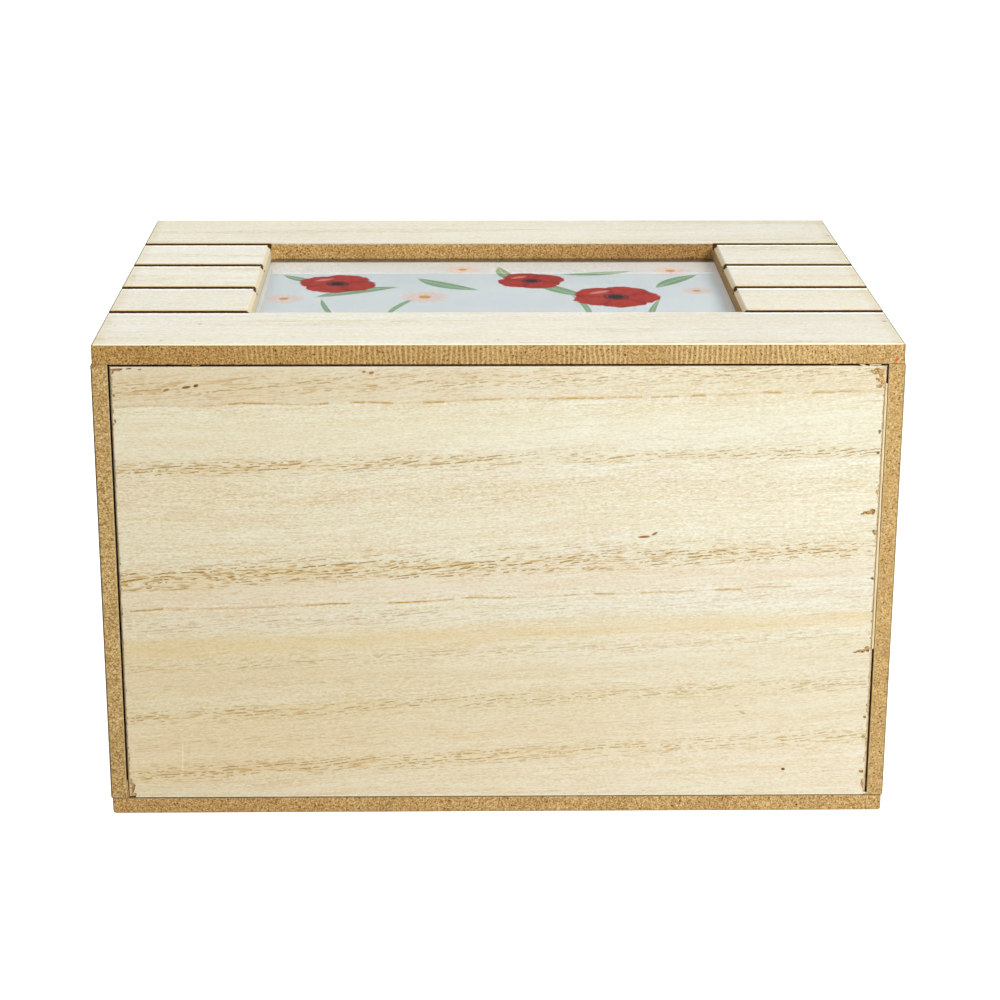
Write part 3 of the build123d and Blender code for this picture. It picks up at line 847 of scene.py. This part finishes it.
frontMarks = [        # place, half length and width, lean, colour, strength
    ((-94.6, 131.6), (1.0, 0.40), 20, paint(168, 112, 40), 0.9),
    ((-88.9, 132.4), (1.4, 0.42), 8, paint(146, 88, 24), 0.95),
    ((-86.1, 132.9), (0.8, 0.48), 20, paint(120, 64, 10), 1.0),
    ((-105.0, 130.6), (2.6, 0.5), 6, paint(206, 158, 92), 0.5),
    ((-98.0, 131.4), (3.0, 0.5), 8, paint(206, 158, 92), 0.5),
    ((-80.0, 134.0), (7.0, 0.5), 8, paint(206, 160, 90), 0.45),
    ((-92.0, 133.6), (4.0, 0.4), 8, paint(202, 152, 84), 0.5),
    ((-38.4, 136.9), (0.6, 0.38), 10, paint(172, 116, 44), 0.9),
    ((-36.3, 136.6), (0.8, 0.42), 12, paint(150, 98, 34), 0.9),
    ((42.2, 87.2), (1.9, 0.40), 4, paint(164, 104, 26), 0.95),
    ((45.2, 88.1), (1.0, 0.40), 30, paint(160, 104, 30), 0.9),
    ((85.4, 13.5), (0.6, 0.42), 0, paint(126, 58, 10), 1.0),
    ((72.7, 31.8), (1.1, 0.30), -20, paint(196, 146, 72), 0.6),
    ((70.8, 34.0), (0.9, 0.3), 10, paint(214, 158, 96), 0.5),
    ((-93.9, 18.0), (5.6, 0.14), 88, paint(252, 248, 236), 0.5),
]


def dashRamp(along, dashes, rest=0.22):        # how strong a broken line is at each place along X
    reach = 111.0        # millimetres to each side of the middle
    stops = {0.0: rest}
    for start, end, strength in dashes:
        stops[(start + reach) / (2 * reach)] = strength
        stops[(end + reach) / (2 * reach)] = rest
    node = addNode("ValToRGB")
    ramp = node.color_ramp
    ramp.interpolation = "CONSTANT"
    ramp.elements.remove(ramp.elements[1])
    for spot, strength in stops.items():
        element = ramp.elements.new(spot) if spot else ramp.elements[0]
        element.color = (strength, strength, strength, 1)
    feed(node.inputs["Fac"], calc("DIVIDE", plus(along, reach), 2 * reach))
    return node.outputs["Color"]


def frontWear(place, width):        # the worn arrises of the drawer front
    middle, half = (frontLow + frontHigh) / 2 / mm, (frontHigh - frontLow) / 2 / mm
    return useGroup(arrisWear, {
        "Vector": place, "Middle": tuple(middle), "Half": tuple(half), "Width": width})["Mask"]


def frontVeneerMaterial():
    material, shader, place = startMaterial("frontVeneer")
    x, y, z = split(place)

    def ring(centre, half, strength, rise):
        return useGroup(ringBand, {
            "Along": x, "Across": z, "Centre": centre, "Rise": rise, "Half Width": half, "Strength": strength})

    rings, gold = 0.0, 0.0
    for facts in frontRings:
        rings = highest(rings, ring(*facts)["Mask"])
    rings = times(rings, fade(x, 60.0, -60.0, 0.9, 1.35))        # stronger to the left
    veneer = useGroup(veneerGrain, {
        "Vector": join(x, z, y), **veneerTones["front"], "Bands": rings, "Seed": 1.0, "Rise": 0.045})
    color = blend(fade(z, 66.0, 44.0, 0.0, 0.28), veneer["Color"], veneerTones["front"]["Warm"])
    for centre, half, strength, rise, tone in frontZones:
        color = blend(ring(centre, half, strength, rise)["Mask"], color, tone)
    for line, dashes in ((upperLine, upperDashes), (lowerLine, lowerDashes)):
        centre, half, rise = line
        course = ring(centre, half, 1.0, rise)
        broken = dashRamp(x, dashes)
        grainy = fade(noise(join(times(x, 0.7), times(z, 1.6), 3.0), detail=3), 0.36, 0.58, 0.5, 1.1)
        broken = times(broken, grainy)
        gold = highest(gold, times(course["Mask"], broken))
        if line is upperLine:        # the wood is darker above it
            above = times(fade(course["Above"], -0.4, 0.8), fade(x, -60.0, 60.0, 0.42, 0.16))
            color = blend(above, color, paint(222, 203, 168))
    color = blend(gold, color, paint(198, 154, 62))
    color = shadeLeft(x, color, (0.93, 0.89, 0.81, 1))
    corner = times(fade(x, 20.0, 90.0), fade(z, 95.0, 120.0))
    color = blend(corner, color, (0.96, 0.955, 0.93, 1), "MULTIPLY")
    color = blend(fade(z, 45.0, 15.0), color, (1.04, 1.01, 0.99, 1), "MULTIPLY")
    color = paintMarks(x, z, color, frontMarks)
    worn = frontWear(place, 0.8)
    worn = times(worn, fade(z, 120.0, 136.0, 0.8, 0.35))
    color = blend(worn, color, paint(252, 246, 226))
    marks = useGroup(handMarks, {"Vector": place, "Amount": 0.6})
    color = blend(times(marks["Rub"], 0.10), color, paint(205, 185, 140))
    dress(shader, color, veneer["Roughness"], 0.10)
    addBump(shader, minus(veneer["Height"], times(gold, 0.4)), 0.00010, 0.5)
    return material


def frontCoreMaterial():
    material, shader, place = startMaterial("frontCore")
    x, y, z = split(place)
    raw = useGroup(fibreboard, {"Vector": place, **edgeTones, "Seed": 31.0})
    color = blend(times(frontWear(place, 1.2), 0.85), raw["Color"], paint(246, 230, 196))
    color = paintMarks(x, z, color, [
        ((-107.0, 137.4), (3.4, 0.9), 0, paint(168, 116, 68), 0.7),
        ((107.3, 134.6), (2.2, 4.4), 0, raw["Color"], 0.9)])
    # painted shade on the core's edge faces in the gaps round it, stronger at the left
    edge = highest(fade(absolute(x), 110.45, 110.56), fade(z, 138.35, 138.46))
    edge = times(edge, placeMask(y, -84.4, -82.9, 0.3))
    edge = times(edge, fade(x, 109.0, 110.0, 0.85, 0.35))
    color = blend(edge, color, seamDirtAndShade)
    back = fade(y, -80.5, -80.4)
    veneer = useGroup(veneerGrain, {
        "Vector": join(x, z, y), **veneerTones["case"], "Seed": 26.0, "Bands": looseBands(x, z, 26)})
    dress(shader, blend(back, color, veneer["Color"]), raw["Roughness"], 0.10)
    addBump(shader, raw["Height"], 0.00012)
    return material


giveMaterial(sheet, frontVeneerMaterial())
giveMaterial(core, frontCoreMaterial())
material, shader, place = startMaterial("frontSplinters")
x, y, z = split(place)
raw = useGroup(fibreboard, {"Vector": place, **edgeTones, "Seed": 37.0})
color = blend(fade(x, 100.0, 101.0), raw["Color"],
              blend(fade(z, 20.0, 21.0), paint(250, 240, 214), paint(240, 218, 174)))
dress(shader, color, raw["Roughness"], 0.10)
giveMaterial(splinters, material)
print("drawer front painted")

# Hardboard: drawer floor and the frame's backing
hardboardFacts = {"Base": paint(150, 108, 66), "Dark": paint(92, 58, 30), "Light": paint(186, 142, 92)}
for name, seed in (("drawer_floor", 41.0), ("frame_backing", 47.0)):
    material, shader, place = startMaterial(name + "Hardboard")
    raw = useGroup(fibreboard, {"Vector": place, **hardboardFacts, "Seed": seed})
    marks = useGroup(handMarks, {"Vector": place, "Amount": 0.8})
    color = blend(times(marks["Dust"], 0.5), raw["Color"], paint(214, 186, 140))
    color = blend(times(marks["Rub"], 0.25), color, paint(110, 74, 42))
    dress(shader, color, minus(raw["Roughness"], 0.35))
    addBump(shader, raw["Height"], 0.00005)
    giveMaterial(nodes[name], material)

# The sample print: a plain garden motif under the pane
flowerHead, given, made = startGroup("flowerHead", {
    "Vector": (0, 0, 0), "Centre": (0, 0, 0), "Radius": 10.0, "Petals": 5.0, "Lobes": 0.2, "Turn": 0.0},
    ("Flower", "Reach", "Fold"))
offset = vectorCalc("SUBTRACT", given["Vector"], given["Centre"])
x, y, z = split(offset)
far = calc("SQRT", plus(times(x, x), times(y, y)))
angle = plus(calc("ARCTAN2", y, x), given["Turn"])
lobe = absolute(calc("COSINE", times(angle, times(given["Petals"], 0.5))))
rim = minus(1.0, times(given["Lobes"], minus(1.0, calc("POWER", lobe, 0.55))))
crinkle = noise(given["Vector"], detail=2, scale=0.35)
rim = times(plus(rim, times(minus(crinkle, 0.5), 0.22)), given["Radius"])
reach = calc("DIVIDE", far, rim)
feed(made["Flower"], fade(reach, 1.03, 0.97))
feed(made["Reach"], reach)
feed(made["Fold"], times(fade(lobe, 0.42, 0.0), fade(reach, 0.05, 0.4)))

leafBlade, given, made = startGroup("leafBlade", {
    "Vector": (0, 0, 0), "Centre": (0, 0, 0), "Turn": 0.0, "Half Length": 10.0, "Half Width": 2.0, "Bend": 0.0},
    ("Leaf", "Rib"))
x, y, z = split(vectorCalc("SUBTRACT", given["Vector"], given["Centre"]))
cosine, sine = calc("COSINE", given["Turn"]), calc("SINE", given["Turn"])
u = plus(times(x, cosine), times(y, sine))
v = minus(times(y, cosine), times(x, sine))
u = calc("DIVIDE", u, given["Half Length"])
squared = times(u, u)
v = calc("DIVIDE", plus(v, times(squared, given["Bend"])), given["Half Width"])
outline = minus(absolute(v), minus(1.0, squared))
feed(made["Leaf"], fade(outline, 0.08, -0.08))
feed(made["Rib"], fade(absolute(v), 0.16, 0.04))

printFacts = {        # millimetres from the middle of the print
    "field": paint(243, 250, 249, 1), "shade": paint(235, 244, 246, 1), "sky": paint(246, 242, 235, 1),
    "margin": paint(250, 249, 248, 1), "marginWidth": 4.4,
    "leaves": [(-44, 2, 0.5, 15, 3.4, 1.5), (-16, 10, -0.7, 13, 3.2, -2), (20, 4, 2.2, 14, 3.0, 2),
               (58, 16, 0.9, 12, 2.8, 1), (-62, 18, 2.4, 9, 2.2, 1), (4, 24, 1.9, 12, 2.4, 2),
               (34, 26, 0.2, 12, 2.2, -1.5), (-30, -18, 1.2, 16, 1.0, 2), (28, -20, 1.7, 18, 1.0, -2),
               (48, -24, 1.4, 16, 1.0, 1), (-52, -22, 1.8, 14, 0.9, 1)],
    "leaf": paint(132, 178, 126, 1), "rib": paint(192, 214, 176, 1),
    "poppies": [(-50, 12, 12.5, 4, 0.16, 0.4), (12, 16, 11.0, 4, 0.18, 1.1), (38, -6, 14.0, 5, 0.14, 0.1)],
    "poppy": paint(204, 62, 48, 1), "poppyDeep": paint(160, 34, 32, 1), "poppyGlint": paint(240, 160, 144, 1),
    "daisies": [(-22, -6, 8.0, 13, 0.45, 0.2), (58, 30, 6.5, 12, 0.45, 0.9), (-10, 32, 6.0, 11, 0.45, 0.5),
                (-66, -8, 6.5, 13, 0.45, 0.0), (64, 2, 5.0, 11, 0.45, 0.3)],
    "daisy": paint(252, 234, 226, 1), "daisyShade": paint(234, 198, 190, 1), "heart": paint(232, 176, 84, 1),
}
material, shader, place = startMaterial("samplePrint")
x, y, z = split(place)
flat = join(x, y, 0.0)
mist = noise(flat, detail=4, roughness=0.6, scale=0.035)
color = blend(fade(mist, 0.35, 0.7), printFacts["field"], printFacts["shade"])
color = blend(fade(y, 20.0, 44.0, 0.0, 0.7), color, printFacts["sky"])
for cx, cy, turn, length, width, bend in printFacts["leaves"]:
    leaf = useGroup(leafBlade, {"Vector": flat, "Centre": (cx, cy, 0), "Turn": turn, "Half Length": length,
                                "Half Width": width, "Bend": bend})
    green = blend(leaf["Rib"], printFacts["leaf"], printFacts["rib"])
    color = blend(times(leaf["Leaf"], 0.9), color, green)
for cx, cy, radius, petals, lobes, turn in printFacts["daisies"]:
    bloom = useGroup(flowerHead, {"Vector": flat, "Centre": (cx, cy, 0), "Radius": radius, "Petals": petals,
                                  "Lobes": lobes, "Turn": turn})
    petal = blend(bloom["Fold"], printFacts["daisy"], printFacts["daisyShade"])
    petal = blend(fade(bloom["Reach"], 0.30, 0.24), petal, printFacts["heart"])
    color = blend(bloom["Flower"], color, petal)
for cx, cy, radius, petals, lobes, turn in printFacts["poppies"]:
    bloom = useGroup(flowerHead, {"Vector": flat, "Centre": (cx, cy, 0), "Radius": radius, "Petals": petals,
                                  "Lobes": lobes, "Turn": turn})
    veins = noise(join(times(x, 0.5), times(y, 0.3), 1.0), detail=3)
    petal = blend(fade(veins, 0.45, 0.7, 0.0, 0.5), printFacts["poppy"], printFacts["poppyDeep"])
    petal = blend(times(bloom["Fold"], 0.8), petal, printFacts["poppyDeep"])
    glow = useGroup(leafBlade, {"Vector": flat, "Centre": (cx - radius * 0.35, cy + radius * 0.45, 0),
                                "Turn": 0.6, "Half Length": radius * 0.3, "Half Width": radius * 0.1})
    petal = blend(times(glow["Leaf"], 0.8), petal, printFacts["poppyGlint"])
    petal = blend(fade(bloom["Reach"], 0.24, 0.17), petal, paint(60, 44, 50))
    petal = blend(placeMask(bloom["Reach"], 0.24, 0.30, 0.02), petal, paint(110, 60, 56))
    color = blend(bloom["Flower"], color, petal)
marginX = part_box("photo_print")[1].x / mm - printFacts["marginWidth"]
beyond = fade(absolute(x), marginX - 0.1, marginX + 0.1)
color = blend(beyond, color, printFacts["margin"])
marks = useGroup(handMarks, {"Vector": vectorCalc("MULTIPLY", flat, (1.4, 1.4, 1.0)), "Amount": 0.9})
color = blend(times(marks["Dust"], 0.5), color, paint(250, 250, 250))
color = blend(fade(y, 41.7, 44.0, 0.0, 0.95), color, paint(70, 61, 44))        # shade under the board
dress(shader, color, plus(0.30, times(marks["Rub"], 0.2)))
giveMaterial(nodes["photo_print"], material)
print("print painted")

# Clear pane
material, shader, place = startMaterial("clearPane")
shader.inputs["Transmission Weight"].default_value = 1.0
shader.inputs["IOR"].default_value = 1.49
marks = useGroup(handMarks, {"Vector": place, "Amount": 1.0})
dress(shader, (0.99, 1, 1, 1), plus(0.02, times(marks["Rub"], 0.06)), 0.4)
rays = addNode("LightPath").outputs
passing = highest(rays["Is Shadow Ray"], rays["Is Diffuse Ray"])        # light reaches the print
feed(shader.inputs["Alpha"], minus(1.0, passing))
giveMaterial(nodes["window_pane"], material)

# Metal: pins, screws and turn buttons
drawnMetal, given, made = startGroup("drawnMetal", {
    "Vector": (0, 0, 0), "Base": paint(180, 180, 178), "Tarnish": paint(110, 96, 80), "Lay": (1, 8, 1),
    "Age": 0.3}, ("Color", "Roughness", "Height"))
brush = noise(vectorCalc("MULTIPLY", given["Vector"], given["Lay"]), detail=3, roughness=0.6)
bloom = noise(given["Vector"], detail=3, scale=0.5)
aged = times(fade(bloom, 0.42, 0.72), given["Age"])
color = blend(aged, given["Base"], given["Tarnish"])
color = blend(fade(brush, 0.45, 0.75, 0.0, 0.2), color, given["Tarnish"])
feed(made["Color"], color)
feed(made["Roughness"], plus(times(aged, 0.3), plus(0.26, times(brush, 0.16))))
feed(made["Height"], brush)

dullSteel = {"Base": paint(176, 174, 170), "Tarnish": paint(120, 92, 66), "Age": 0.5}
zinc = {"Base": paint(196, 196, 190), "Tarnish": paint(136, 126, 96), "Age": 0.35}
brass = {"Base": paint(206, 172, 96), "Tarnish": paint(132, 98, 48), "Age": 0.4}
metalList = {
    "back_pins": dullSteel, "bottom_pins": dullSteel, "drawer_pins": dullSteel, "turn_button_screws": zinc,
    "turn_button_front_left": brass, "turn_button_front_right": brass,
    "turn_button_rear_left": brass, "turn_button_rear_right": brass,
}
for name, facts in metalList.items():
    material, shader, place = startMaterial(name + "Metal")
    metal = useGroup(drawnMetal, {"Vector": place, **facts})
    dress(shader, metal["Color"], metal["Roughness"])
    shader.inputs["Metallic"].default_value = 1.0
    addBump(shader, metal["Height"], 0.00002)
    giveMaterial(nodes[name], material)

# Pins of the top: three heads lie bare, and the rest are filled over and sanded
material, shader, place = startMaterial("topPins")
x, y, z = split(place)
metal = useGroup(drawnMetal, {
    "Vector": place, "Base": paint(176, 176, 172), "Tarnish": paint(120, 112, 100), "Age": 0.5})
outer = fade(absolute(y), 30.0, 31.0)
right = fade(x, -1.0, 1.0)
bare = absolute(minus(plus(right, outer), 1.0))
filler = blend(noise(place, detail=3, scale=1.5), paint(230, 222, 198), paint(214, 200, 170))
cover = minus(1.0, bare)
color = blend(times(cover, fade(z, 144.7, 144.8)), metal["Color"], filler)
dress(shader, color, plus(metal["Roughness"], times(cover, 0.25)))
addBump(shader, metal["Height"], 0.00003)
shader.inputs["Metallic"].default_value = 0.15
giveMaterial(nodes["top_pins"], material)
print("metal painted")

# Studio
studio = {
    "floorSize": 40.0, "floorDrop": 0.0001,        # just clear of the box's underside
    "floorTone": (0.74, 0.74, 0.74, 1),
    "floorGlow": 0.72,        # as the camera sees the white paper
    "floorBounce": 0.10,        # as the object sees it
    "air": 0.35,        # light from all round
    "sweep": 0.82,        # more of it from behind and above
    "aside": 0.37,      # and from the right
    "backdrop": 0.2,        # what the pane mirrors is dimmer
}
clearSelection()
bpy.ops.mesh.primitive_plane_add(size=studio["floorSize"], location=(0, 0, -studio["floorDrop"]))
floor = bpy.context.object
floor.name = "studio_floor"
material, shader, place = startMaterial("studioPaper")
shader.inputs["Emission Color"].default_value = (1, 1, 1, 1)
seen = addNode("LightPath").outputs["Is Camera Ray"]
feed(shader.inputs["Emission Strength"], fade(seen, 0.0, 1.0, studio["floorBounce"], studio["floorGlow"]))
dress(shader, studio["floorTone"], fade(noise(place, scale=0.01), 0.3, 0.7, 0.75, 0.85))
below = addNode("NewGeometry").outputs["Backfacing"]        # from below, the paper is clear
feed(shader.inputs["Alpha"], minus(1.0, below))
giveMaterial(floor, material)

lamps = [        # name, place, aim, size, watts, colour
    ("keySoftbox", (0.50, -0.56, 0.62), (0.02, -0.02, 0.08), 0.35, 6.5, (0.97, 1.0, 1.04)),
    ("frontSoftbox", (0.05, -1.25, 0.95), (0, 0, 0.10), 0.6, 3.7, (1.0, 0.99, 0.97)),
    ("topSoftbox", (-0.42, 0.40, 0.85), (0, 0, 0.14), 0.7, 3.6, (1.0, 1.0, 1.0)),
]
for name, spot, aim, size, watts, tone in lamps:
    turn = (Vector(aim) - Vector(spot)).to_track_quat("-Z", "Y").to_euler()
    bpy.ops.object.light_add(type="AREA", location=spot, rotation=turn)
    lamp = bpy.context.object
    lamp.name = name
    lamp.data.size = size
    lamp.data.energy = watts
    lamp.data.color = tone
world = bpy.data.worlds.new("studioAir")
bpy.context.scene.world = world
world.use_nodes = True
tree = world.node_tree
x, y, z = split(addNode("TexCoord").outputs["Generated"])
sweep = times(fade(y, 0.1, 0.6), placeMask(z, 0.55, 0.85, 0.12))
glow = plus(times(sweep, studio["sweep"]), times(fade(x, -0.6, 0.9), studio["aside"]))
glow = plus(glow, studio["air"])
dark = times(fade(y, 0.5, 0.8), placeMask(z, 0.12, 0.46, 0.06))
sky = tree.nodes["Background"]
sky.inputs["Color"].default_value = (1, 1, 1, 1)
feed(sky.inputs["Strength"], times(glow, fade(dark, 0.0, 1.0, 1.0, studio["backdrop"])))
print("studio lit")

clearSelection()
